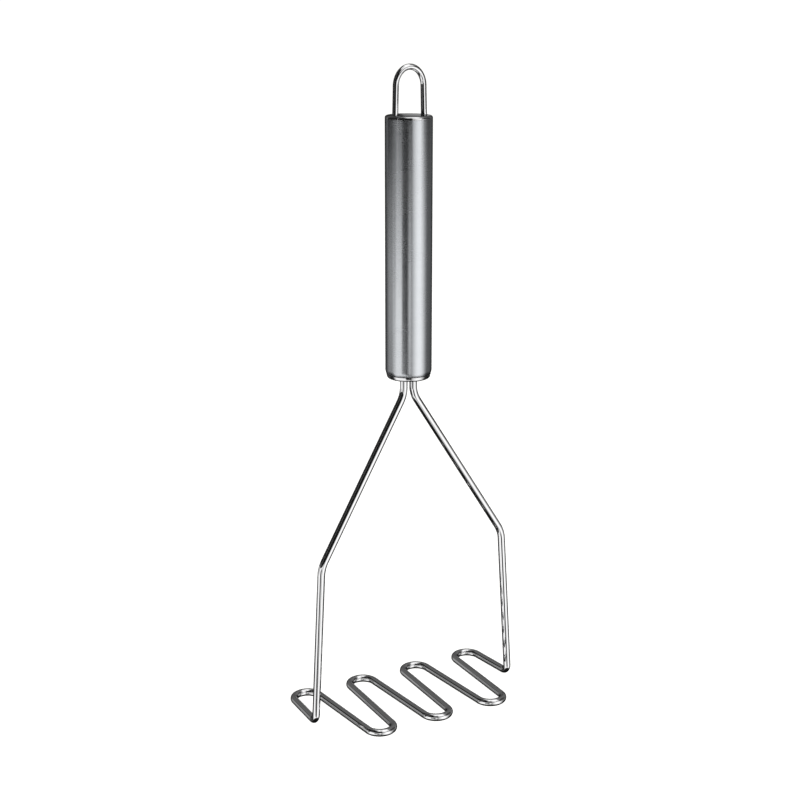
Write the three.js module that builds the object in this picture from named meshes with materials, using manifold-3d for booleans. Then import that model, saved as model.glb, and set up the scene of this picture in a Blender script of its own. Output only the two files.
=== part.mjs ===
// Wire potato masher: a steel tube handle with pressed end caps and a hanging loop, and one long bent wire
// that makes the two legs and the serpentine foot. Millimetres, +Z up.
//
// Frame: the masher stands upright on its foot. Z = 0 is the surface under the wire, X runs from leg to leg,
// -Y is the front, and X = Y = 0 is the middle of the serpentine. The handle stands a little behind it.

import * as THREE from 'three';
import { mergeVertices } from 'three/addons/utils/BufferGeometryUtils.js';
import Module from 'manifold-3d';

// ---------------------------------------------------------------- driving dimensions

const ASSEMBLY_GAP = 0.3; // clearance left between neighbouring pieces

// handle
const HANDLE_Y = 3.5; // the handle's axis stands this far behind the middle of the foot
const HANDLE_BOTTOM = 141.9; // underside of the lower end cap
const HANDLE_TOP = 248.0; // top face of the upper end cap
const TUBE_RADIUS = 9.5;
const TUBE_WALL = 0.5;
const CRIMP_DEPTH = 0.35; // the tube's lower end is rolled in this far to hold the lower cap
const CRIMP_HEIGHT = 1.7; // height of the rolled end

// pressed end caps
const CAP_FACE_THICKNESS = 0.8;
const CAP_SKIRT_WALL = 0.6;
const CAP_SKIRT_LENGTH = 4.0; // how far the skirt reaches into the tube
const LOWER_CAP_RADIUS = 8.85; // where the rim meets the rounded edge
const LOWER_CAP_RIM_RADIUS = 9.1; // at the seam with the tube
const LOWER_CAP_EDGE_RADIUS = 0.85;
const LOWER_CAP_RIM_HEIGHT = 1.75; // from the underside to the seam with the tube
const UPPER_CAP_EDGE_RADIUS = 1.0;
const UPPER_CAP_RIM_HEIGHT = 1.2;

// masher wire
const WIRE_RADIUS = 1.6;
const LOOP_PITCH = 27.2; // from one back loop of the serpentine to the next
const BACK_LOOPS = 4;
const LOOP_BEND_RADIUS = 5.7; // bends of the serpentine, on the centreline
const LOOP_CENTRE_Y = 19.3; // the bends' centres lie this far behind and in front of the middle
const FOOT_X = 48.0; // corner where each leg turns into the serpentine
const FOOT_Y = -2.3;
const FOOT_BEND_RADIUS = 3.3;
const SHOULDER_X = 43.9; // corner where each leg turns inwards to the handle
const SHOULDER_Y = -1.4;
const SHOULDER_Z = 68.5;
const SHOULDER_BEND_RADIUS = 13.0;
const NECK_X = 2.23; // the two legs enter the handle side by side
const NECK_Z = 134.7;
const NECK_BEND_RADIUS = 11.8;
const WIRE_TAIL_TOP = 162.0; // ends of the wire inside the handle

// hanging loop
const LOOP_WIRE_RADIUS = 1.2;
const LOOP_LEG_X = 6.55;
const LOOP_FORWARD = 0.6; // the loop stands this far in front of the handle's axis
const LOOP_ARCH_X = 6.3; // the legs lean in a little up to the arch
const LOOP_ARCH_Z = 259.2;
const LOOP_ARCH_HEIGHT = 7.4;
const LOOP_LEAN_BEND_RADIUS = 15.0;
const LOOP_TAIL_BOTTOM = 237.0; // ends of the loop inside the handle

// weld beads
const LEG_WELD_HEIGHT = 2.4;
const LEG_WELD_FOOT_RADIUS = 3.9;
const LEG_WELD_TIP_RADIUS = 2.5;
const LOOP_WELD_HEIGHT = 2.2;
const LOOP_WELD_FOOT_RADIUS = 3.2;
const LOOP_WELD_TIP_RADIUS = 2.1;

// smoothness
const WIRE_SIDES = 12;
const BEND_STEP = THREE.MathUtils.degToRad(15); // each step of a bend turns at most this much
const TURN_SEGMENTS = 48; // around the handle's axis
const BEAD_SEGMENTS = 20; // around a weld bead and a wire hole
const EDGE_SEGMENTS = 5; // across a rounded cap edge
const MERGE_DISTANCE = 1e-4; // corners closer than this are one corner
const CUT_MARGIN = 1.0; // how far a cutting shape reaches past what it cuts

// ---------------------------------------------------------------- materials

function steel(colour, roughness) {
  return new THREE.MeshStandardMaterial({ color: colour, roughness, metalness: 1.0 });
}

const satinSteel = () => steel(0x9a9c9e, 0.35);
const polishedSteel = () => steel(0xc4c5c7, 0.12);
const brightWire = () => steel(0xb4b5b7, 0.08);
const weldMetal = () => steel(0x7c7976, 0.55);

// ---------------------------------------------------------------- joining and cutting

const wasm = await Module();
wasm.setup();

function toSolid(geometry) {
  const bare = geometry.clone();
  bare.deleteAttribute('normal');
  bare.deleteAttribute('uv');
  const merged = mergeVertices(bare, MERGE_DISTANCE);
  return new wasm.Manifold(new wasm.Mesh({
    numProp: 3,
    vertProperties: new Float32Array(merged.attributes.position.array),
    triVerts: new Uint32Array(merged.index.array),
  }));
}

function toGeometry(solid) {
  const mesh = solid.getMesh();
  const geometry = new THREE.BufferGeometry();
  geometry.setAttribute('position', new THREE.BufferAttribute(mesh.vertProperties, 3));
  geometry.setIndex(new THREE.BufferAttribute(mesh.triVerts, 1));
  geometry.computeVertexNormals();
  return geometry;
}

// ---------------------------------------------------------------- turned shapes

// A shape turned around the Z axis from [radius, height] points. The outline runs anticlockwise in the
// radius-height plane, and either starts and ends on the axis or closes on itself.
function turned(outline, segments = TURN_SEGMENTS) {
  const points = outline.map(([radius, height]) => new THREE.Vector2(radius, height));
  return new THREE.LatheGeometry(points, segments).rotateX(Math.PI / 2);
}

// Quarter of a circle around [centreRadius, centreHeight], from one angle to another.
function roundedEdge(centreRadius, centreHeight, radius, fromAngle, toAngle) {
  const points = [];
  for (let i = 0; i <= EDGE_SEGMENTS; i += 1) {
    const angle = THREE.MathUtils.lerp(fromAngle, toAngle, i / EDGE_SEGMENTS);
    points.push([centreRadius + radius * Math.cos(angle), centreHeight + radius * Math.sin(angle)]);
  }
  return points;
}

// Frustum on the Z axis, used for weld beads and, with equal radii, for holes.
function frustum(bottomRadius, topRadius, bottom, top) {
  return turned([[0, bottom], [bottomRadius, bottom], [topRadius, top], [0, top]], BEAD_SEGMENTS);
}

// ---------------------------------------------------------------- wire centrelines

// A centreline given station by station, so straight stretches take one step and bends take many.
class StationCurve extends THREE.Curve {
  constructor(stations) {
    super();
    this.stations = stations;
  }

  stationAt(t) {
    return this.stations[Math.round(t * (this.stations.length - 1))];
  }

  getPoint(t) {
    return this.stationAt(t).point.clone();
  }

  getPointAt(u) {
    return this.getPoint(u);
  }

  getTangentAt(u) {
    return this.stationAt(u).tangent.clone();
  }
}

// Stations along centre + cos(angle) * startArm + sin(angle) * sideArm, from angle 0 to sweep.
function arcStations(centre, startArm, sideArm, sweep) {
  const steps = Math.ceil(sweep / BEND_STEP);
  const stations = [];
  for (let i = 0; i <= steps; i += 1) {
    const angle = (sweep * i) / steps;
    const point = centre.clone()
      .addScaledVector(startArm, Math.cos(angle))
      .addScaledVector(sideArm, Math.sin(angle));
    const tangent = new THREE.Vector3()
      .addScaledVector(startArm, -Math.sin(angle))
      .addScaledVector(sideArm, Math.cos(angle))
      .normalize();
    stations.push({ point, tangent });
  }
  return stations;
}

// The rounded corner of given radius between two straight stretches that would meet at corner.
function cornerStations(before, corner, after, radius) {
  const arriving = corner.clone().sub(before).normalize();
  const leaving = after.clone().sub(corner).normalize();
  const turn = arriving.angleTo(leaving);
  const start = corner.clone().addScaledVector(arriving, -radius * Math.tan(turn / 2));
  const inward = leaving.clone().addScaledVector(arriving, -leaving.dot(arriving)).normalize();
  const centre = start.clone().addScaledVector(inward, radius);
  return arcStations(centre, inward.multiplyScalar(-radius), arriving.multiplyScalar(radius), turn);
}

function endStation(point, towards) {
  return { point: point.clone(), tangent: towards.clone().sub(point).normalize() };
}

// Solid round wire along the stations.
function wireGeometry(stations, radius) {
  const section = new THREE.Shape();
  for (let i = 0; i < WIRE_SIDES; i += 1) {
    const angle = (2 * Math.PI * i) / WIRE_SIDES;
    const x = radius * Math.cos(angle);
    const y = radius * Math.sin(angle);
    if (i === 0) section.moveTo(x, y);
    else section.lineTo(x, y);
  }
  section.closePath();
  return new THREE.ExtrudeGeometry(section, {
    steps: stations.length - 1,
    extrudePath: new StationCurve(stations),
  });
}

// ---------------------------------------------------------------- masher wire

// The straight run from one bend to the next, which turns the other way.
function crossingRun(from, to) {
  const between = to.centre.clone().sub(from.centre);
  const lean = Math.asin((from.radius + to.radius) / between.length());
  const outward = between.angle() + from.side * (Math.PI / 2 - lean);
  const arm = new THREE.Vector2(Math.cos(outward), Math.sin(outward));
  return {
    start: from.centre.clone().addScaledVector(arm, from.radius),
    end: to.centre.clone().addScaledVector(arm, -to.radius),
  };
}

// Centres of the serpentine's bends from left to right. side is +1 for a back bend, which turns clockwise
// seen from above, and -1 for a front bend.
function serpentineBends() {
  const count = 2 * BACK_LOOPS - 1;
  const bends = [];
  for (let i = 0; i < count; i += 1) {
    const side = i % 2 === 0 ? 1 : -1;
    const x = (LOOP_PITCH / 2) * (i - (count - 1) / 2);
    bends.push({ centre: new THREE.Vector2(x, side * LOOP_CENTRE_Y), side, radius: LOOP_BEND_RADIUS });
  }
  return bends;
}

function onFoot(point) {
  return new THREE.Vector3(point.x, point.y, WIRE_RADIUS);
}

// The zigzag between the two feet, with the points where its first and last runs meet the bends.
function serpentine() {
  const bends = serpentineBends();
  const footCorner = (side) => ({ centre: new THREE.Vector2(side * FOOT_X, FOOT_Y), side: -1, radius: 0 });
  const corners = [footCorner(-1), ...bends, footCorner(1)];
  const runs = corners.slice(1).map((corner, i) => crossingRun(corners[i], corner));
  const stations = bends.flatMap((bend, i) => {
    const startArm = runs[i].end.clone().sub(bend.centre);
    const endArm = runs[i + 1].start.clone().sub(bend.centre);
    const turn = bend.side * (startArm.angle() - endArm.angle());
    return arcStations(
      onFoot(bend.centre),
      new THREE.Vector3(startArm.x, startArm.y, 0),
      new THREE.Vector3(bend.side * startArm.y, -bend.side * startArm.x, 0),
      THREE.MathUtils.euclideanModulo(turn, 2 * Math.PI),
    );
  });
  return { stations, firstContact: onFoot(runs[0].end), lastContact: onFoot(runs.at(-1).start) };
}

// From the tail inside the handle down one leg and round the foot bend. side is -1 left, +1 right.
function legStations(side, towardsSerpentine) {
  const tail = new THREE.Vector3(side * NECK_X, HANDLE_Y, WIRE_TAIL_TOP);
  const neck = new THREE.Vector3(side * NECK_X, HANDLE_Y, NECK_Z);
  const shoulder = new THREE.Vector3(side * SHOULDER_X, SHOULDER_Y, SHOULDER_Z);
  const foot = new THREE.Vector3(side * FOOT_X, FOOT_Y, WIRE_RADIUS);
  return [
    endStation(tail, neck),
    ...cornerStations(tail, neck, shoulder, NECK_BEND_RADIUS),
    ...cornerStations(neck, shoulder, foot, SHOULDER_BEND_RADIUS),
    ...cornerStations(shoulder, foot, towardsSerpentine, FOOT_BEND_RADIUS),
  ];
}

function reversed(stations) {
  return stations.map(({ point, tangent }) => ({ point, tangent: tangent.clone().negate() })).reverse();
}

function masherWire() {
  const zigzag = serpentine();
  const stations = [
    ...legStations(-1, zigzag.firstContact),
    ...zigzag.stations,
    ...reversed(legStations(1, zigzag.lastContact)),
  ];
  return wireGeometry(stations, WIRE_RADIUS);
}

// ---------------------------------------------------------------- hanging loop

function hangingLoop() {
  const legStationsOf = (side) => {
    const tail = new THREE.Vector3(side * LOOP_LEG_X, -LOOP_FORWARD, LOOP_TAIL_BOTTOM);
    const mouth = new THREE.Vector3(side * LOOP_LEG_X, -LOOP_FORWARD, HANDLE_TOP);
    const archFoot = new THREE.Vector3(side * LOOP_ARCH_X, -LOOP_FORWARD, LOOP_ARCH_Z);
    return [endStation(tail, mouth), ...cornerStations(tail, mouth, archFoot, LOOP_LEAN_BEND_RADIUS)];
  };
  const arch = arcStations(
    new THREE.Vector3(0, -LOOP_FORWARD, LOOP_ARCH_Z),
    new THREE.Vector3(-LOOP_ARCH_X, 0, 0),
    new THREE.Vector3(0, 0, LOOP_ARCH_HEIGHT),
    Math.PI,
  );
  return wireGeometry([...legStationsOf(-1), ...arch, ...reversed(legStationsOf(1))], LOOP_WIRE_RADIUS);
}

// ---------------------------------------------------------------- handle tube and end caps

const tubeBore = TUBE_RADIUS - TUBE_WALL;
const skirtRadius = tubeBore - ASSEMBLY_GAP;
const skirtBore = skirtRadius - CAP_SKIRT_WALL;
const lowerSeam = HANDLE_BOTTOM + LOWER_CAP_RIM_HEIGHT;
const upperSeam = HANDLE_TOP - UPPER_CAP_RIM_HEIGHT;

// Points up the rolled end of the tube, which meets the straight wall of the given radius smoothly.
function crimpPoints(wallRadius, bottom) {
  const bendRadius = (CRIMP_HEIGHT ** 2 + CRIMP_DEPTH ** 2) / (2 * CRIMP_DEPTH);
  const sweep = Math.asin(CRIMP_HEIGHT / bendRadius);
  return roundedEdge(wallRadius - bendRadius, bottom + CRIMP_HEIGHT, bendRadius, -sweep, 0);
}

function handleTube() {
  const bottom = lowerSeam + ASSEMBLY_GAP;
  const top = upperSeam - ASSEMBLY_GAP;
  const outside = crimpPoints(TUBE_RADIUS, bottom);
  const inside = crimpPoints(tubeBore, bottom).reverse();
  return turned([...outside, [TUBE_RADIUS, top], [tubeBore, top], ...inside, outside[0]]);
}

// Round holes through a cap for two wire legs, at x = +-legX and y = legY from the handle's axis.
function withLegHoles(cap, legX, legY, wireRadius) {
  const holeRadius = wireRadius + ASSEMBLY_GAP;
  let solid = toSolid(cap);
  for (const side of [-1, 1]) {
    const drill = frustum(holeRadius, holeRadius, HANDLE_BOTTOM - CUT_MARGIN, HANDLE_TOP + CUT_MARGIN);
    solid = solid.subtract(toSolid(drill.translate(side * legX, legY, 0)));
  }
  return toGeometry(solid);
}

// Cup with its face down and its skirt up inside the tube.
function lowerEndCap() {
  const edge = LOWER_CAP_EDGE_RADIUS;
  const outside = skirtRadius - CRIMP_DEPTH;
  const inside = skirtBore - CRIMP_DEPTH;
  const skirtTop = lowerSeam + CAP_SKIRT_LENGTH;
  const cup = turned([
    [0, HANDLE_BOTTOM],
    ...roundedEdge(LOWER_CAP_RADIUS - edge, HANDLE_BOTTOM + edge, edge, -Math.PI / 2, 0),
    [LOWER_CAP_RIM_RADIUS, lowerSeam],
    [outside, lowerSeam],
    [outside, skirtTop],
    [inside, skirtTop],
    [inside, HANDLE_BOTTOM + CAP_FACE_THICKNESS],
    [0, HANDLE_BOTTOM + CAP_FACE_THICKNESS],
  ]);
  return withLegHoles(cup, NECK_X, 0, WIRE_RADIUS);
}

// Cup with its face up and its skirt down inside the tube.
function upperEndCap() {
  const edge = UPPER_CAP_EDGE_RADIUS;
  const skirtBottom = upperSeam - CAP_SKIRT_LENGTH;
  const cup = turned([
    [0, HANDLE_TOP - CAP_FACE_THICKNESS],
    [skirtBore, HANDLE_TOP - CAP_FACE_THICKNESS],
    [skirtBore, skirtBottom],
    [skirtRadius, skirtBottom],
    [skirtRadius, upperSeam],
    [TUBE_RADIUS, upperSeam],
    ...roundedEdge(TUBE_RADIUS - edge, HANDLE_TOP - edge, edge, 0, Math.PI / 2),
    [0, HANDLE_TOP],
  ]);
  return withLegHoles(cup, LOOP_LEG_X, -LOOP_FORWARD, LOOP_WIRE_RADIUS);
}

// ---------------------------------------------------------------- weld beads inside the handle

// One bead around both legs of the masher wire, on the inner side of the lower cap.
function legWeld() {
  const bottom = HANDLE_BOTTOM + CAP_FACE_THICKNESS + ASSEMBLY_GAP;
  const top = bottom + LEG_WELD_HEIGHT;
  const holeRadius = WIRE_RADIUS + ASSEMBLY_GAP;
  const beadAt = (side) => toSolid(
    frustum(LEG_WELD_FOOT_RADIUS, LEG_WELD_TIP_RADIUS, bottom, top).translate(side * NECK_X, 0, 0),
  );
  let solid = beadAt(-1).add(beadAt(1));
  for (const side of [-1, 1]) {
    const leg = frustum(holeRadius, holeRadius, bottom - CUT_MARGIN, top + CUT_MARGIN);
    solid = solid.subtract(toSolid(leg.translate(side * NECK_X, 0, 0)));
  }
  return toGeometry(solid);
}

// Bead on the inner side of one leg of the hanging loop, under the upper cap and clear of its skirt.
function loopWeld(side) {
  const top = HANDLE_TOP - CAP_FACE_THICKNESS - ASSEMBLY_GAP;
  const bottom = top - LOOP_WELD_HEIGHT;
  const holeRadius = LOOP_WIRE_RADIUS + ASSEMBLY_GAP;
  const roomRadius = skirtBore - ASSEMBLY_GAP;
  const bead = frustum(LOOP_WELD_TIP_RADIUS, LOOP_WELD_FOOT_RADIUS, bottom, top);
  const leg = frustum(holeRadius, holeRadius, bottom - CUT_MARGIN, top + CUT_MARGIN);
  bead.translate(side * LOOP_LEG_X, -LOOP_FORWARD, 0);
  leg.translate(side * LOOP_LEG_X, -LOOP_FORWARD, 0);
  const room = turned([
    [0, bottom - CUT_MARGIN],
    [roomRadius, bottom - CUT_MARGIN],
    [roomRadius, top + CUT_MARGIN],
    [0, top + CUT_MARGIN],
  ]);
  return toGeometry(toSolid(bead).subtract(toSolid(leg)).intersect(toSolid(room)));
}

// ---------------------------------------------------------------- assembly

function piece(name, geometry, material) {
  const mesh = new THREE.Mesh(geometry, material);
  mesh.name = name;
  return mesh;
}

// Everything on the handle's own axis.
const handle = new THREE.Group();
handle.position.y = HANDLE_Y;
handle.add(
  piece('handle_tube', handleTube(), satinSteel()),
  piece('lower_end_cap', lowerEndCap(), polishedSteel()),
  piece('upper_end_cap', upperEndCap(), polishedSteel()),
  piece('hanging_loop', hangingLoop(), brightWire()),
  piece('leg_weld', legWeld(), weldMetal()),
  piece('loop_weld_left', loopWeld(-1), weldMetal()),
  piece('loop_weld_right', loopWeld(1), weldMetal()),
);

const masher = new THREE.Group();
masher.add(handle, piece('masher_wire', masherWire(), brightWire()));

export default masher;
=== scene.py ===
"""Wire potato masher: steel handle, hanging loop and one long bent wire, around the CAD frame."""

import math

import bmesh
import bpy
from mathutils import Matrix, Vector


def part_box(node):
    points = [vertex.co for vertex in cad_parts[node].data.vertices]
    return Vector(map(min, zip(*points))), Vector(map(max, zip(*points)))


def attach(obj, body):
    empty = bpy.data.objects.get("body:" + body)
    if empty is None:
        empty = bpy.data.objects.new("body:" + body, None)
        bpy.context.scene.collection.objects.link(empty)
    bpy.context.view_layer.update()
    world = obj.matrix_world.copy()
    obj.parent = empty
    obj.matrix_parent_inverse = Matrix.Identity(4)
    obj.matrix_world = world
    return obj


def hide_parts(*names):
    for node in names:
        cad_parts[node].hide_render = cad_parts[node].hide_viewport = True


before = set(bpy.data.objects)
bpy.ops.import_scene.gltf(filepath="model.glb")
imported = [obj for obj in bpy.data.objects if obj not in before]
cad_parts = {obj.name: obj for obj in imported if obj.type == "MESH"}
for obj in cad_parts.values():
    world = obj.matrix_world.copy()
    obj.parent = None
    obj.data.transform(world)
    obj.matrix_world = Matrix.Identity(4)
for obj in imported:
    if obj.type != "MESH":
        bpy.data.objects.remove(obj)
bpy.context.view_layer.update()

MM = 0.001
ROOT = "root"

# ------------------------------------------------------------------ dimensions, in metres

tube_low, tube_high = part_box("handle_tube")
lower_cap_low, lower_cap_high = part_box("lower_end_cap")
upper_cap_low, upper_cap_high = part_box("upper_end_cap")
loop_low, loop_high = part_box("hanging_loop")
wire_low, wire_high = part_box("masher_wire")

# handle
HANDLE_Y = (tube_low.y + tube_high.y) / 2
HANDLE_BOTTOM = lower_cap_low.z
HANDLE_TOP = upper_cap_high.z
TUBE_RADIUS = (tube_high.x - tube_low.x) / 2
TUBE_WALL = 0.5 * MM
TUBE_LIP_RADIUS = 0.04 * MM
CRIMP_DEPTH = 0.35 * MM
CRIMP_HEIGHT = 1.7 * MM
CAD_GAP = 0.3 * MM  # between neighbouring pieces of the CAD
LOWER_SEAM = tube_low.z - CAD_GAP / 2  # middle of the gap
UPPER_SEAM = tube_high.z + CAD_GAP / 2
LOWER_SEAM_HALF_WIDTH = 0.15 * MM
UPPER_SEAM_HALF_WIDTH = 0.03 * MM  # a hairline
CAP_FACE_THICKNESS = 0.8 * MM
CAP_SKIRT_GAP = 0.05 * MM
CAP_SKIRT_WALL = 0.6 * MM
LOWER_CAP_RADIUS = 8.85 * MM
LOWER_CAP_RIM_RADIUS = 9.1 * MM
LOWER_CAP_EDGE_RADIUS = 0.85 * MM
UPPER_CAP_EDGE_RADIUS = 1.0 * MM
CAP_LIP_RADIUS = 0.04 * MM
CAP_EDGE_END = 3  # degrees from upright, where the rounded edge of a cap ends

# masher wire
WIRE_RADIUS = 1.6 * MM
WIRE_HOLE_GAP = 0.06 * MM
WIRE_HOLE_FLARE = 0.35 * MM
DRILL_REACH = 1.0 * MM  # out of the cap's face
DRILL_DEPTH = 2 * CAP_FACE_THICKNESS
LOOP_PITCH = 27.2 * MM
BACK_LOOPS = 4
LOOP_BEND_RADIUS = 5.7 * MM
LOOP_CENTRE_Y = 19.3 * MM
FOOT_X = 48.0 * MM
FOOT_Y = -2.3 * MM
FOOT_BEND_RADIUS = 3.3 * MM
SHOULDER = Vector((43.9, -1.4, 68.5)) * MM
SHOULDER_BEND_RADIUS = 13.0 * MM
NECK_X = 2.23 * MM
NECK_Z = 134.7 * MM
NECK_BEND_RADIUS = 11.8 * MM

# hanging loop
LOOP_WIRE_RADIUS = 1.2 * MM
LOOP_LEG_X = loop_high.x - LOOP_WIRE_RADIUS
LOOP_Y = (loop_low.y + loop_high.y) / 2
LOOP_ARCH_X = 6.3 * MM
LOOP_ARCH_HEIGHT = 7.4 * MM
LOOP_ARCH_Z = loop_high.z - LOOP_WIRE_RADIUS - LOOP_ARCH_HEIGHT
LOOP_LEAN_BEND_RADIUS = 15.0 * MM

# smoothness
WIRE_SIDES = 40
BEND_STEP = math.radians(3)
STRAIGHT_STEP = 4 * MM
DRILL_SIDES = 2 * WIRE_SIDES
TURN_SEGMENTS = 160
EDGE_SEGMENTS = 12
SHARP_ANGLE = math.radians(35)
ON_AXIS = 1e-9  # a smaller radius is a single point

# ------------------------------------------------------------------ wire centrelines


def arc_stations(centre, start_arm, side_arm, sweep):
    """Points and tangents along centre + cos(angle) * start_arm + sin(angle) * side_arm."""
    steps = math.ceil(sweep / BEND_STEP)
    stations = []
    for i in range(steps + 1):
        angle = sweep * i / steps
        point = centre + math.cos(angle) * start_arm + math.sin(angle) * side_arm
        tangent = math.cos(angle) * side_arm - math.sin(angle) * start_arm
        stations.append((point, tangent.normalized()))
    return stations


def corner_stations(before, corner, after, radius):
    """The rounded corner between two straight stretches that would meet at corner."""
    arriving = (corner - before).normalized()
    leaving = (after - corner).normalized()
    turn = arriving.angle(leaving)
    start = corner - arriving * (radius * math.tan(turn / 2))
    inward = (leaving - arriving * leaving.dot(arriving)).normalized()
    return arc_stations(start + inward * radius, -inward * radius, arriving * radius, turn)


def end_station(point, towards):
    return point.copy(), (towards - point).normalized()


def reverse_stations(stations):
    return [(point, -tangent) for point, tangent in reversed(stations)]


def fill_straights(stations):
    """Adds stations along the straight stretches, so that no step is longer than STRAIGHT_STEP."""
    filled = [stations[0]]
    for (start, _), (end, tangent) in zip(stations, stations[1:]):
        steps = max(1, math.ceil((end - start).length / STRAIGHT_STEP))
        filled += [(start.lerp(end, i / steps), tangent) for i in range(1, steps)]
        filled.append((end, tangent))
    return filled


def crossing_run(start, end):
    """The straight run from one bend of the zigzag to the next, which turns the other way."""
    between = end["centre"] - start["centre"]
    lean = math.asin((start["radius"] + end["radius"]) / between.length)
    outward = math.atan2(between.y, between.x) + start["side"] * (math.pi / 2 - lean)
    arm = Vector((math.cos(outward), math.sin(outward)))
    return start["centre"] + arm * start["radius"], end["centre"] - arm * end["radius"]


def on_foot(point):
    return Vector((point.x, point.y, WIRE_RADIUS))


def zigzag_stations():
    """The bends between the two feet, and the points where the first and last runs meet them."""
    count = 2 * BACK_LOOPS - 1
    bends = []
    for i in range(count):
        side = 1 if i % 2 == 0 else -1
        centre = Vector((LOOP_PITCH / 2 * (i - (count - 1) / 2), side * LOOP_CENTRE_Y))
        bends.append({"centre": centre, "side": side, "radius": LOOP_BEND_RADIUS})
    feet = [{"centre": Vector((s * FOOT_X, FOOT_Y)), "side": -1, "radius": 0.0} for s in (-1, 1)]
    corners = [feet[0], *bends, feet[1]]
    runs = [crossing_run(a, b) for a, b in zip(corners, corners[1:])]
    stations = []
    for bend, arriving, leaving in zip(bends, runs, runs[1:]):
        start_arm = arriving[1] - bend["centre"]
        end_arm = leaving[0] - bend["centre"]
        turn = math.atan2(start_arm.y, start_arm.x) - math.atan2(end_arm.y, end_arm.x)
        stations += arc_stations(
            on_foot(bend["centre"]),
            start_arm.to_3d(),
            Vector((bend["side"] * start_arm.y, -bend["side"] * start_arm.x, 0)),
            (bend["side"] * turn) % (2 * math.pi),
        )
    return stations, on_foot(runs[0][1]), on_foot(runs[-1][0])


def leg_stations(side, towards_zigzag):
    """From the tail inside the handle down one leg and round the foot bend."""
    tail = Vector((side * NECK_X, HANDLE_Y, wire_high.z))
    neck = Vector((side * NECK_X, HANDLE_Y, NECK_Z))
    shoulder = Vector((side * SHOULDER.x, SHOULDER.y, SHOULDER.z))
    foot = Vector((side * FOOT_X, FOOT_Y, WIRE_RADIUS))
    return [
        end_station(tail, neck),
        *corner_stations(tail, neck, shoulder, NECK_BEND_RADIUS),
        *corner_stations(neck, shoulder, foot, SHOULDER_BEND_RADIUS),
        *corner_stations(shoulder, foot, towards_zigzag, FOOT_BEND_RADIUS),
    ]


def masher_stations():
    zigzag, first_contact, last_contact = zigzag_stations()
    return [
        *leg_stations(-1, first_contact),
        *zigzag,
        *reverse_stations(leg_stations(1, last_contact)),
    ]


def hanging_loop_stations():
    def leg(side):
        tail = Vector((side * LOOP_LEG_X, LOOP_Y, loop_low.z))
        mouth = Vector((side * LOOP_LEG_X, LOOP_Y, HANDLE_TOP))
        arch_foot = Vector((side * LOOP_ARCH_X, LOOP_Y, LOOP_ARCH_Z))
        lean = corner_stations(tail, mouth, arch_foot, LOOP_LEAN_BEND_RADIUS)
        return [end_station(tail, mouth), *lean]

    arch = arc_stations(
        Vector((0, LOOP_Y, LOOP_ARCH_Z)),
        Vector((-LOOP_ARCH_X, 0, 0)),
        Vector((0, 0, LOOP_ARCH_HEIGHT)),
        math.pi,
    )
    return [*leg(-1), *arch, *reverse_stations(leg(1))]


# ------------------------------------------------------------------ meshes


def keep_edges_crisp(bm):
    """Marks every edge over SHARP_ANGLE as sharp."""
    for edge in bm.edges:
        edge.smooth = len(edge.link_faces) < 2 or edge.calc_face_angle() < SHARP_ANGLE


def new_piece(name, bm):
    """A smooth-shaded object from a bmesh, with crisp edges."""
    bmesh.ops.recalc_face_normals(bm, faces=bm.faces)
    for face in bm.faces:
        face.smooth = True
    keep_edges_crisp(bm)
    mesh = bpy.data.meshes.new(name)
    bm.to_mesh(mesh)
    bm.free()
    piece = bpy.data.objects.new(name, mesh)
    bpy.context.scene.collection.objects.link(piece)
    return piece


def wire_piece(name, stations, radius):
    """A round wire along the stations. Its UV map holds the metres along and around it."""
    stations = fill_straights(stations)
    bm = bmesh.new()
    uv_layer = bm.loops.layers.uv.new("wire")
    rings = []
    across = stations[0][1].orthogonal().normalized()
    distance = 0.0
    previous = stations[0][0]
    for point, tangent in stations:
        across = (across - tangent * across.dot(tangent)).normalized()
        other = tangent.cross(across)
        ring = []
        for i in range(WIRE_SIDES):
            angle = 2 * math.pi * i / WIRE_SIDES
            outward = math.cos(angle) * across + math.sin(angle) * other
            ring.append(bm.verts.new(point + radius * outward))
        distance += (point - previous).length
        previous = point
        rings.append((ring, distance))
    around = 2 * math.pi * radius / WIRE_SIDES
    for (ring, u), (next_ring, next_u) in zip(rings, rings[1:]):
        for i in range(WIRE_SIDES):
            j = (i + 1) % WIRE_SIDES
            face = bm.faces.new((ring[i], ring[j], next_ring[j], next_ring[i]))
            corners = ((u, i), (u, i + 1), (next_u, i + 1), (next_u, i))
            for loop, (along, step) in zip(face.loops, corners):
                loop[uv_layer].uv = (along, step * around)
    bm.faces.new(rings[0][0])
    bm.faces.new(rings[-1][0])
    return new_piece(name, bm)


def rounded(centre_radius, centre_height, radius, from_degrees, to_degrees):
    """Points of a rounded edge in the radius-height plane."""
    points = []
    for i in range(EDGE_SEGMENTS + 1):
        angle = math.radians(from_degrees + (to_degrees - from_degrees) * i / EDGE_SEGMENTS)
        height = centre_height + radius * math.sin(angle)
        points.append((centre_radius + radius * math.cos(angle), height))
    return points


def turned(outline, segments=TURN_SEGMENTS, centre_x=0.0, centre_y=HANDLE_Y):
    """Turns (radius, height) points around an upright axis. The outline ends on the axis or closes."""
    bm = bmesh.new()
    rings = []
    for radius, height in outline:
        if radius < ON_AXIS:
            rings.append([bm.verts.new((centre_x, centre_y, height))])
            continue
        ring = []
        for i in range(segments):
            angle = 2 * math.pi * i / segments
            x = centre_x + radius * math.cos(angle)
            y = centre_y + radius * math.sin(angle)
            ring.append(bm.verts.new((x, y, height)))
        rings.append(ring)
    pairs = list(zip(rings, rings[1:]))
    if len(rings[0]) > 1:
        pairs.append((rings[-1], rings[0]))
    for low, high in pairs:
        for i in range(segments):
            j = (i + 1) % segments
            corners = (low[i % len(low)], low[j % len(low)], high[j % len(high)], high[i % len(high)])
            bm.faces.new(list(dict.fromkeys(corners)))  # a corner on the axis counts once
    return bm


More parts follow.
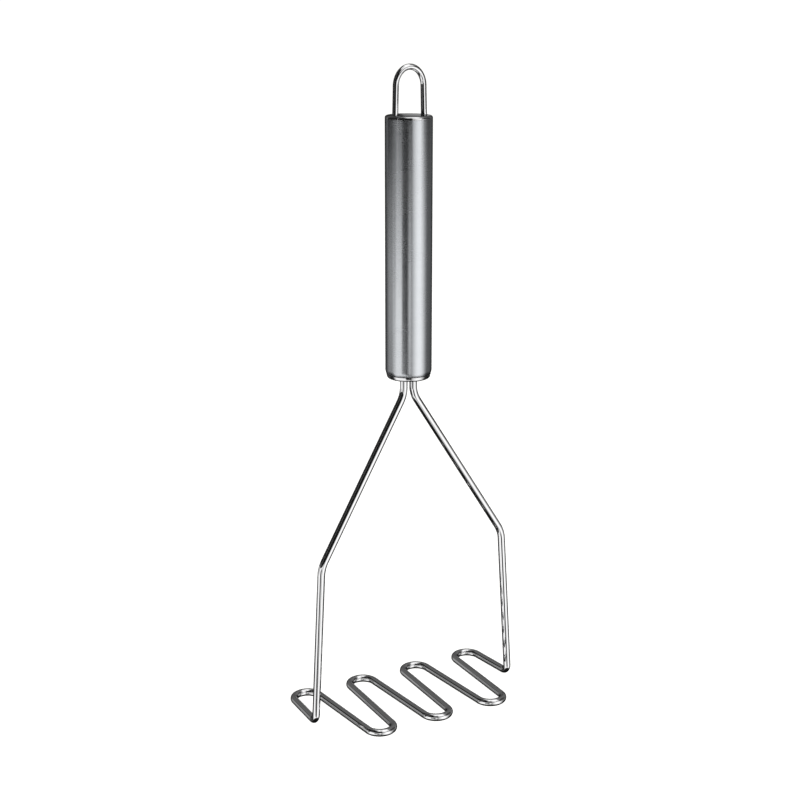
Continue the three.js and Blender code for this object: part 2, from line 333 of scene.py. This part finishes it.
def cut(piece, tools):
    """Cuts the tool objects out of the piece, applies the result and removes the tools."""
    for tool in tools:
        boolean = piece.modifiers.new("cut", "BOOLEAN")
        boolean.operation = "DIFFERENCE"
        boolean.solver = "EXACT"
        boolean.object = tool
    graph = bpy.context.evaluated_depsgraph_get()
    mesh = bpy.data.meshes.new_from_object(piece.evaluated_get(graph), depsgraph=graph)
    piece.modifiers.clear()
    old = piece.data
    piece.data = mesh
    mesh.name = piece.name
    bpy.data.meshes.remove(old)
    for tool in tools:
        bpy.data.objects.remove(tool)
    bm = bmesh.new()
    bm.from_mesh(piece.data)
    keep_edges_crisp(bm)
    bm.to_mesh(piece.data)
    bm.free()
    return piece


def wire_drill(x, y, wire_radius, face, outwards):
    """A cutter for a wire's hole, with a rounded mouth at the cap's outer face."""
    outside = face + outwards * DRILL_REACH
    inside = face - outwards * DRILL_DEPTH
    hole = wire_radius + WIRE_HOLE_GAP
    flare = WIRE_HOLE_FLARE
    mouth = [
        (hole + flare - flare * math.sin(angle), face - outwards * flare * (1 - math.cos(angle)))
        for angle in (math.pi / 2 * i / EDGE_SEGMENTS for i in range(EDGE_SEGMENTS + 1))
    ]
    outline = [(0, outside), (hole + flare, outside), *mouth, (hole, inside), (0, inside)]
    return new_piece("drill", turned(outline, DRILL_SIDES, centre_x=x, centre_y=y))


def crimp(wall_radius, bottom):
    """Points up the rolled end of the tube, which runs smoothly into the straight wall."""
    bend_radius = (CRIMP_HEIGHT**2 + CRIMP_DEPTH**2) / (2 * CRIMP_DEPTH)
    sweep = math.degrees(math.asin(CRIMP_HEIGHT / bend_radius))
    return rounded(wall_radius - bend_radius, bottom + CRIMP_HEIGHT, bend_radius, -sweep, 0)


def handle_tube():
    bore = TUBE_RADIUS - TUBE_WALL
    bottom = LOWER_SEAM + LOWER_SEAM_HALF_WIDTH
    top = UPPER_SEAM - UPPER_SEAM_HALF_WIDTH
    lip = TUBE_LIP_RADIUS
    outline = [
        *crimp(TUBE_RADIUS, bottom),
        *rounded(TUBE_RADIUS - lip, top - lip, lip, 0, 90),
        (bore, top),
        *reversed(crimp(bore, bottom)),
    ]
    return new_piece("handle_tube_skin", turned(outline))


def lower_end_cap():
    edge = LOWER_CAP_EDGE_RADIUS
    skirt = TUBE_RADIUS - TUBE_WALL - CRIMP_DEPTH - CAP_SKIRT_GAP
    skirt_bore = skirt - CAP_SKIRT_WALL
    rim = LOWER_SEAM - LOWER_SEAM_HALF_WIDTH
    lip = CAP_LIP_RADIUS
    outline = [
        (0, HANDLE_BOTTOM),
        *rounded(LOWER_CAP_RADIUS - edge, HANDLE_BOTTOM + edge, edge, -90, -CAP_EDGE_END),
        *rounded(LOWER_CAP_RIM_RADIUS - lip, rim - lip, lip, 0, 90),
        (skirt, rim),
        (skirt, lower_cap_high.z),
        (skirt_bore, lower_cap_high.z),
        (skirt_bore, HANDLE_BOTTOM + CAP_FACE_THICKNESS),
        (0, HANDLE_BOTTOM + CAP_FACE_THICKNESS),
    ]
    piece = new_piece("lower_end_cap_skin", turned(outline))
    drills = [wire_drill(s * NECK_X, HANDLE_Y, WIRE_RADIUS, HANDLE_BOTTOM, -1) for s in (-1, 1)]
    return cut(piece, drills)


def upper_end_cap():
    edge = UPPER_CAP_EDGE_RADIUS
    skirt = TUBE_RADIUS - TUBE_WALL - CAP_SKIRT_GAP
    skirt_bore = skirt - CAP_SKIRT_WALL
    rim = UPPER_SEAM + UPPER_SEAM_HALF_WIDTH
    lip = CAP_LIP_RADIUS
    outline = [
        (0, HANDLE_TOP - CAP_FACE_THICKNESS),
        (skirt_bore, HANDLE_TOP - CAP_FACE_THICKNESS),
        (skirt_bore, upper_cap_low.z),
        (skirt, upper_cap_low.z),
        (skirt, rim),
        *rounded(TUBE_RADIUS - lip, rim + lip, lip, -90, 0),
        *rounded(TUBE_RADIUS - edge, HANDLE_TOP - edge, edge, CAP_EDGE_END, 90),
        (0, HANDLE_TOP),
    ]
    piece = new_piece("upper_end_cap_skin", turned(outline))
    drills = [wire_drill(s * LOOP_LEG_X, LOOP_Y, LOOP_WIRE_RADIUS, HANDLE_TOP, 1) for s in (-1, 1)]
    return cut(piece, drills)


# ------------------------------------------------------------------ materials


class Nodes:
    """Short calls for building a node tree."""

    def __init__(self, tree):
        self.tree = tree

    def add(self, kind, **settings):
        node = self.tree.nodes.new(kind)
        for name, value in settings.items():
            setattr(node, name, value)
        return node

    def feed(self, socket, value):
        if isinstance(value, bpy.types.NodeSocket):
            self.tree.links.new(value, socket)
        elif value is not None:
            socket.default_value = value

    def math(self, operation, first, second=None):
        node = self.add("ShaderNodeMath", operation=operation)
        for socket, value in zip(node.inputs, (first, second)):
            self.feed(socket, value)
        return node.outputs[0]

    def dot(self, first, second):
        node = self.add("ShaderNodeVectorMath", operation="DOT_PRODUCT")
        self.feed(node.inputs[0], first)
        self.feed(node.inputs[1], second)
        return node.outputs["Value"]

    def spread(self, value, from_low, from_high, to_low=0.0, to_high=1.0, smooth=False):
        node = self.add("ShaderNodeMapRange", interpolation_type="SMOOTHSTEP" if smooth else "LINEAR")
        self.feed(node.inputs["Value"], value)
        node.inputs["From Min"].default_value = from_low
        node.inputs["From Max"].default_value = from_high
        node.inputs["To Min"].default_value = to_low
        node.inputs["To Max"].default_value = to_high
        return node.outputs["Result"]

    def stretched(self, vector, scale):
        node = self.add("ShaderNodeMapping")
        self.feed(node.inputs["Vector"], vector)
        node.inputs["Scale"].default_value = scale
        return node.outputs["Vector"]

    def noise(self, vector, scale, detail=2.0, roughness=0.5, distortion=0.0):
        node = self.add("ShaderNodeTexNoise")
        self.feed(node.inputs["Vector"], vector)
        node.inputs["Scale"].default_value = scale
        node.inputs["Detail"].default_value = detail
        node.inputs["Roughness"].default_value = roughness
        node.inputs["Distortion"].default_value = distortion
        return node.outputs["Fac"]

    def blend(self, factor, first, second):
        node = self.add("ShaderNodeMix", data_type="RGBA")
        self.feed(node.inputs["Factor"], factor)
        self.feed(node.inputs["A"], first)
        self.feed(node.inputs["B"], second)
        return node.outputs["Result"]

    def bump(self, height, strength, distance):
        node = self.add("ShaderNodeBump")
        self.feed(node.inputs["Height"], height)
        node.inputs["Strength"].default_value = strength
        node.inputs["Distance"].default_value = distance
        return node.outputs["Normal"]


EDGE_TINT = (0.12, 0.12, 0.125, 1)  # reflection at grazing angles, against that of a perfect mirror
QUARTER_TURN = 0.25  # of the streaks, from the default tangent
SATIN_ANISOTROPY = 0.6
GRAIN_STRETCH = (0.03, 0.03, 1.0)  # long around the tube
BAND_STRETCH = (0.05, 0.05, 1.0)
GRAIN_SHARE = 0.6  # the bands have the rest
DRAW_STRETCH = (0.03, 1.0, 1.0)  # long along the wire
# parts of a noise's values, each spread over the whole range of a look
WIDE_RANGE = (0.3, 0.7)
NARROW_RANGE = (0.35, 0.65)
SMUDGE_RANGE = (0.35, 0.7)
RUB_RANGE = (0.45, 0.7)
SATIN_COLOURS = (0.61, 0.63, 0.655, 1), (0.67, 0.688, 0.71, 1)
POLISHED_COLOURS = (0.80, 0.80, 0.81, 1), (0.72, 0.72, 0.725, 1)
BRIGHT_COLOURS = (0.84, 0.84, 0.845, 1), (0.79, 0.79, 0.795, 1)
WELD_COLOURS = (0.36, 0.34, 0.33, 1), (0.30, 0.25, 0.20, 1)
FINE_RELIEF = 0.01 * MM
BEAD_RELIEF = 0.1 * MM
SCUFF_FULL_HEIGHT = 0.2 * MM  # scuffs are strongest below this
SCUFF_END_HEIGHT = 1.0 * MM  # and end here
SCUFF_ROUGHNESS = 0.35


def new_material(name):
    """A material with nodes, and its shader."""
    material = bpy.data.materials.new(name)
    material.use_nodes = True
    shader = next(n for n in material.node_tree.nodes if n.type == "BSDF_PRINCIPLED")
    return material, shader


def metal(name, build, anisotropy=0.0):
    """A metal material. build(nodes) returns its colour, roughness and normal sockets."""
    material, shader = new_material(name)
    nodes = Nodes(material.node_tree)
    shader.inputs["Metallic"].default_value = 1.0
    shader.inputs["Anisotropic"].default_value = anisotropy
    shader.inputs["Anisotropic Rotation"].default_value = QUARTER_TURN
    shader.inputs["Specular Tint"].default_value = EDGE_TINT
    colour, roughness, normal = build(nodes)
    nodes.feed(shader.inputs["Base Color"], colour)
    nodes.feed(shader.inputs["Roughness"], roughness)
    nodes.feed(shader.inputs["Normal"], normal)
    return material


def satin_steel(nodes):
    """Thin polishing lines and fainter, wider bands that run around the tube, and a few smudges."""
    place = nodes.add("ShaderNodeTexCoord").outputs["Object"]
    thin = nodes.stretched(place, GRAIN_STRETCH)
    grain = nodes.noise(thin, scale=6000.0, detail=3.0, roughness=0.6)
    bands = nodes.noise(nodes.stretched(place, BAND_STRETCH), scale=400.0)
    smudges = nodes.noise(place, scale=70.0, detail=3.0, roughness=0.55, distortion=0.4)
    weighted_grain = nodes.math("MULTIPLY", grain, GRAIN_SHARE)
    weighted_bands = nodes.math("MULTIPLY", bands, 1 - GRAIN_SHARE)
    tone = nodes.math("ADD", weighted_grain, weighted_bands)
    colour = nodes.blend(nodes.spread(tone, *WIDE_RANGE), *SATIN_COLOURS)
    plain = nodes.spread(tone, *WIDE_RANGE, to_low=0.23, to_high=0.26)
    smudged = nodes.spread(smudges, *SMUDGE_RANGE, to_high=0.04)
    return colour, nodes.math("ADD", plain, smudged), nodes.bump(tone, 0.01, FINE_RELIEF)


def polished_steel(nodes):
    """Fine turned rings around the handle's axis, with small rubbed patches."""
    place = nodes.add("ShaderNodeTexCoord").outputs["Object"]
    apart = nodes.add("ShaderNodeSeparateXYZ")
    nodes.feed(apart.inputs[0], place)
    across = nodes.math("SUBTRACT", apart.outputs["Y"], HANDLE_Y)
    x_squared = nodes.math("POWER", apart.outputs["X"], 2.0)
    y_squared = nodes.math("POWER", across, 2.0)
    radius = nodes.math("SQRT", nodes.math("ADD", x_squared, y_squared))
    ring_place = nodes.add("ShaderNodeCombineXYZ")
    nodes.feed(ring_place.inputs["X"], radius)
    nodes.feed(ring_place.inputs["Y"], apart.outputs["Z"])
    rings = nodes.noise(ring_place.outputs[0], scale=6000.0, roughness=0.6)
    rub = nodes.noise(place, scale=260.0, detail=3.0, roughness=0.6)
    colour = nodes.blend(nodes.spread(rub, *SMUDGE_RANGE), *POLISHED_COLOURS)
    ringed = nodes.spread(rings, *WIDE_RANGE, to_low=0.07, to_high=0.1)
    rubbed = nodes.spread(rub, *RUB_RANGE, to_high=0.06)
    return colour, nodes.math("ADD", ringed, rubbed), nodes.bump(rings, 0.08, FINE_RELIEF)


def bright_wire(nodes):
    """Drawn lines along the wire, faint clouding, and a scuffed underside that meets pans."""
    place = nodes.add("ShaderNodeUVMap", uv_map="wire").outputs["UV"]
    lines = nodes.noise(nodes.stretched(place, DRAW_STRETCH), scale=5000.0, roughness=0.6)
    body_place = nodes.add("ShaderNodeTexCoord").outputs["Object"]
    clouds = nodes.noise(body_place, scale=180.0, detail=3.0, roughness=0.55)
    geometry = nodes.add("ShaderNodeNewGeometry")
    apart = nodes.add("ShaderNodeSeparateXYZ")
    nodes.feed(apart.inputs[0], geometry.outputs["Position"])
    underside = nodes.spread(
        apart.outputs["Z"], SCUFF_FULL_HEIGHT, SCUFF_END_HEIGHT, to_low=1.0, to_high=0.0, smooth=True
    )
    scratches = nodes.noise(body_place, scale=1500.0, detail=3.0, roughness=0.7)
    scuffs = nodes.math("MULTIPLY", underside, scratches)
    colour = nodes.blend(nodes.spread(clouds, *NARROW_RANGE), *BRIGHT_COLOURS)
    clouded = nodes.spread(clouds, *WIDE_RANGE, to_low=0.035, to_high=0.07)
    scuffed = nodes.math("MULTIPLY", scuffs, SCUFF_ROUGHNESS)
    return colour, nodes.math("ADD", clouded, scuffed), nodes.bump(lines, 0.06, FINE_RELIEF)


def weld_steel(nodes):
    """Dull bead with heat tint and ripples."""
    place = nodes.add("ShaderNodeTexCoord").outputs["Object"]
    ripples = nodes.noise(place, scale=900.0, detail=4.0, roughness=0.6, distortion=0.6)
    tint = nodes.noise(place, scale=350.0)
    colour = nodes.blend(nodes.spread(tint, *NARROW_RANGE), *WELD_COLOURS)
    rough = nodes.spread(ripples, *WIDE_RANGE, to_low=0.42, to_high=0.66)
    return colour, rough, nodes.bump(ripples, 0.5, BEAD_RELIEF)


# ------------------------------------------------------------------ studio

STUDIO_HEADING = math.radians(-30.5)  # the front of the studio, turned from -Y towards -X
BACKDROP = 0.14  # brightness where no area lies
# Soft-edged areas of the surroundings, each over the ones before it. The first four numbers are
# turns from the studio's front, to the right positive: where the area starts, is full, is still
# full and has ended. The next four are elevations in the same order, all in degrees, and the last
# is the area's brightness.
SURROUNDINGS = (
    ((84, 98, 160, 175), (-92, -91, 91, 92), 0.17),  # dim wall on the right
    ((-182, -181, 181, 182), (70, 84, 91, 92), 0.5),  # ceiling
    ((50, 70, 181, 182), (59, 65, 91, 92), 1.2),  # white ceiling towards the back, in two areas
    ((-182, -181, -160, -140), (59, 65, 91, 92), 1.2),
    ((-182, -181, 181, 182), (-92, -91, -52, -44), 0.01),  # under the table
    ((-128, -116, -92, -78), (-44, -38, -20, -10), 0.02),  # dark gaps beside the table, on both sides
    ((80, 96, 150, 165), (-44, -38, -22, -15), 0.02),
    ((-138, -106, -78, -68), (-20, -15, 8, 20), 0.5),  # side wall on the left
    ((-92, -66, 6, 14), (-48, -40, 8, 20), 1.15),  # white table top and wall on the left
    ((-4, 50, 58, 104), (-48, -40, 91, 92), 1.3),  # softer and brighter on the right, and overhead
    ((-48, -26, 0, 30), (58, 64, 91, 92), 1.3),
    ((-35, -30, -9, 8), (-24, -19, -2, 8), 0.01),  # camera stand, in two areas
    ((-18, -11, 12, 22), (-38, -32, -22, -18), 0.0),
    ((-77, -73, -68, -63), (-13, -7, 12, 20), 0.0),  # lamp stand
    ((166, 172, 178, 181.9), (0, 2, 9, 12), 1.2),  # far window
)
# Cards around the masher, mostly dark, which only show in the steel: turns from the studio's front
# in degrees, heights and distance in metres, brightness.
CARDS = (
    ("curtain_left", (-122, -58), (0.15, 2.2), 0.6, 0.02),
    ("curtain_gap", (-58, -54), (0.15, 1.6), 0.6, 0.3),
    ("curtain_middle", (-54, -14), (0.15, 1.5), 0.6, 0.01),
    ("curtain_right", (-14, 17), (0.15, 1.0), 0.6, 0.01),
    ("shelf", (17, 74), (0.36, 0.66), 0.9, 0.05),
    ("right_screen", (74, 125), (0.24, 0.9), 0.9, 0.06),
    ("right_screen_foot", (62, 125), (0.178, 0.24), 0.9, 0.02),
)
CARD_STEP = 3  # degrees
BLACK = (0, 0, 0, 1)
WHITE = (1, 1, 1, 1)


def glowing_material(name, colour, glow, strength, roughness=0.5):
    """A material without shine that glows evenly."""
    material, shader = new_material(name)
    shader.inputs["Base Color"].default_value = colour
    shader.inputs["Roughness"].default_value = roughness
    shader.inputs["Specular IOR Level"].default_value = 0.0
    shader.inputs["Emission Color"].default_value = glow
    shader.inputs["Emission Strength"].default_value = strength
    return material


def dark_card(name, turns, heights, distance, brightness):
    bm = bmesh.new()
    steps = math.ceil((turns[1] - turns[0]) / CARD_STEP)
    rows = []
    for height in heights:
        row = []
        for i in range(steps + 1):
            turn = STUDIO_HEADING + math.radians(turns[0] + (turns[1] - turns[0]) * i / steps)
            x, y = distance * math.sin(turn), -distance * math.cos(turn)
            row.append(bm.verts.new((x, y, height)))
        rows.append(row)
    for i in range(steps):
        bm.faces.new((rows[0][i], rows[0][i + 1], rows[1][i + 1], rows[1][i]))
    card = new_piece(name, bm)
    card.data.materials.append(glowing_material(name, BLACK, WHITE, brightness))
    card.visible_camera = False
    card.visible_diffuse = False
    card.visible_shadow = False


def light_surroundings():
    """The studio that the steel mirrors, as soft areas placed by direction."""
    world = bpy.data.worlds.new("studio")
    bpy.context.scene.world = world
    world.use_nodes = True
    nodes = Nodes(world.node_tree)
    background = next(n for n in world.node_tree.nodes if n.type == "BACKGROUND")
    direction = nodes.add("ShaderNodeTexCoord").outputs["Generated"]
    front = (math.sin(STUDIO_HEADING), -math.cos(STUDIO_HEADING), 0.0)
    right = (math.cos(STUDIO_HEADING), math.sin(STUDIO_HEADING), 0.0)
    turn = nodes.math("ARCTAN2", nodes.dot(direction, right), nodes.dot(direction, front))
    elevation = nodes.math("ARCSINE", nodes.dot(direction, (0.0, 0.0, 1.0)))
    brightness = BACKDROP
    for turns, elevations, level in SURROUNDINGS:
        mask = None
        for value, (start, full, still_full, end) in ((turn, turns), (elevation, elevations)):
            for outer, inner in ((start, full), (end, still_full)):
                edge = nodes.spread(value, math.radians(outer), math.radians(inner), smooth=True)
                mask = edge if mask is None else nodes.math("MULTIPLY", mask, edge)
        mixed = nodes.add("ShaderNodeMix", data_type="FLOAT")
        nodes.feed(mixed.inputs["Factor"], mask)
        nodes.feed(mixed.inputs["A"], brightness)
        mixed.inputs["B"].default_value = level
        brightness = mixed.outputs["Result"]
    nodes.feed(background.inputs["Color"], brightness)
    world.cycles_visibility.diffuse = False  # it is mirrored, but lights no dull surface


FLOOR_DROP = 0.02 * MM
SWEEP_FLOOR_RADIUS = 2.0
SWEEP_COVE_RADIUS = 1.0
SWEEP_WALL_TOP = 3.5
SWEEP_COVE_STEPS = 24
SWEEP_SEGMENTS = 96
FLOOR_COLOUR = (0.9, 0.9, 0.89, 1)
FLOOR_GLOW = (1, 1, 0.98, 1)
FLOOR_GLOW_STRENGTH = 1.0
FLOOR_ROUGHNESS = 0.9


def floor_sweep():
    """Plain pale floor that curves up into a wall all round, and a roof over it."""
    outline = [(0, -FLOOR_DROP)]
    for i in range(SWEEP_COVE_STEPS + 1):
        angle = math.pi / 2 * i / SWEEP_COVE_STEPS
        height = SWEEP_COVE_RADIUS * (1 - math.cos(angle)) - FLOOR_DROP
        outline.append((SWEEP_FLOOR_RADIUS + SWEEP_COVE_RADIUS * math.sin(angle), height))
    outline += [(SWEEP_FLOOR_RADIUS + SWEEP_COVE_RADIUS, SWEEP_WALL_TOP), (0, SWEEP_WALL_TOP)]
    sweep = new_piece("floor_sweep", turned(outline, SWEEP_SEGMENTS, centre_y=0.0))
    material = glowing_material(
        "pale_floor", FLOOR_COLOUR, FLOOR_GLOW, FLOOR_GLOW_STRENGTH, FLOOR_ROUGHNESS
    )
    sweep.data.materials.append(material)
    sweep.visible_glossy = False
    sweep.visible_diffuse = False
    sweep.visible_shadow = False


OVERHEAD_PLACE = (0.3, -0.4, 1.9)
OVERHEAD_SIZE = 1.6
OVERHEAD_POWER = 14.0


def soft_light(name, place, size, power):
    """A large lamp that lights the floor and doesn't show in the steel."""
    lamp = bpy.data.lights.new(name, "AREA")
    lamp.shape = "DISK"
    lamp.size = size
    lamp.energy = power
    holder = bpy.data.objects.new(name, lamp)
    holder.location = place
    holder.rotation_euler = (-Vector(place)).to_track_quat("-Z", "Y").to_euler()
    holder.visible_glossy = False
    bpy.context.scene.collection.objects.link(holder)


CAMERA_PLACE = Vector((-316.4, -526.8, 299.2)) * MM
CAMERA_HEADING = math.radians(-30.5)
CAMERA_DIP = math.radians(15.138)
CAMERA_LENS = 69.9
CAMERA_SENSOR = 36.0
CAMERA_CLIP_START = 0.01
CAMERA_CLIP_END = 50.0


def camera():
    data = bpy.data.cameras.new("camera")
    data.lens = CAMERA_LENS
    data.sensor_width = CAMERA_SENSOR
    data.clip_start = CAMERA_CLIP_START
    data.clip_end = CAMERA_CLIP_END
    holder = bpy.data.objects.new("camera", data)
    holder.location = CAMERA_PLACE
    holder.rotation_euler = (math.pi / 2 - CAMERA_DIP, 0.0, CAMERA_HEADING)
    bpy.context.scene.collection.objects.link(holder)
    bpy.context.scene.camera = holder


# ------------------------------------------------------------------ assembly


def finish_piece(piece, node, material):
    piece.data.materials.clear()
    piece.data.materials.append(material)
    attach(piece, ROOT)
    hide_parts(node)


satin = metal("satin_steel", satin_steel, anisotropy=SATIN_ANISOTROPY)
polished = metal("polished_steel", polished_steel)
bright = metal("bright_wire", bright_wire)
weld = metal("weld_steel", weld_steel)

finish_piece(handle_tube(), "handle_tube", satin)
finish_piece(lower_end_cap(), "lower_end_cap", polished)
finish_piece(upper_end_cap(), "upper_end_cap", polished)
finish_piece(
    wire_piece("hanging_loop_wire", hanging_loop_stations(), LOOP_WIRE_RADIUS),
    "hanging_loop",
    bright,
)
finish_piece(
    wire_piece("masher_wire_bent", masher_stations(), WIRE_RADIUS),
    "masher_wire",
    bright,
)
for node in ("leg_weld", "loop_weld_left", "loop_weld_right"):
    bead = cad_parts[node]
    bead.data.materials.clear()
    bead.data.materials.append(weld)

light_surroundings()
for card in CARDS:
    dark_card(*card)
floor_sweep()
soft_light("overhead_light", OVERHEAD_PLACE, OVERHEAD_SIZE, OVERHEAD_POWER)
camera()
bpy.context.scene.view_settings.view_transform = "Standard"
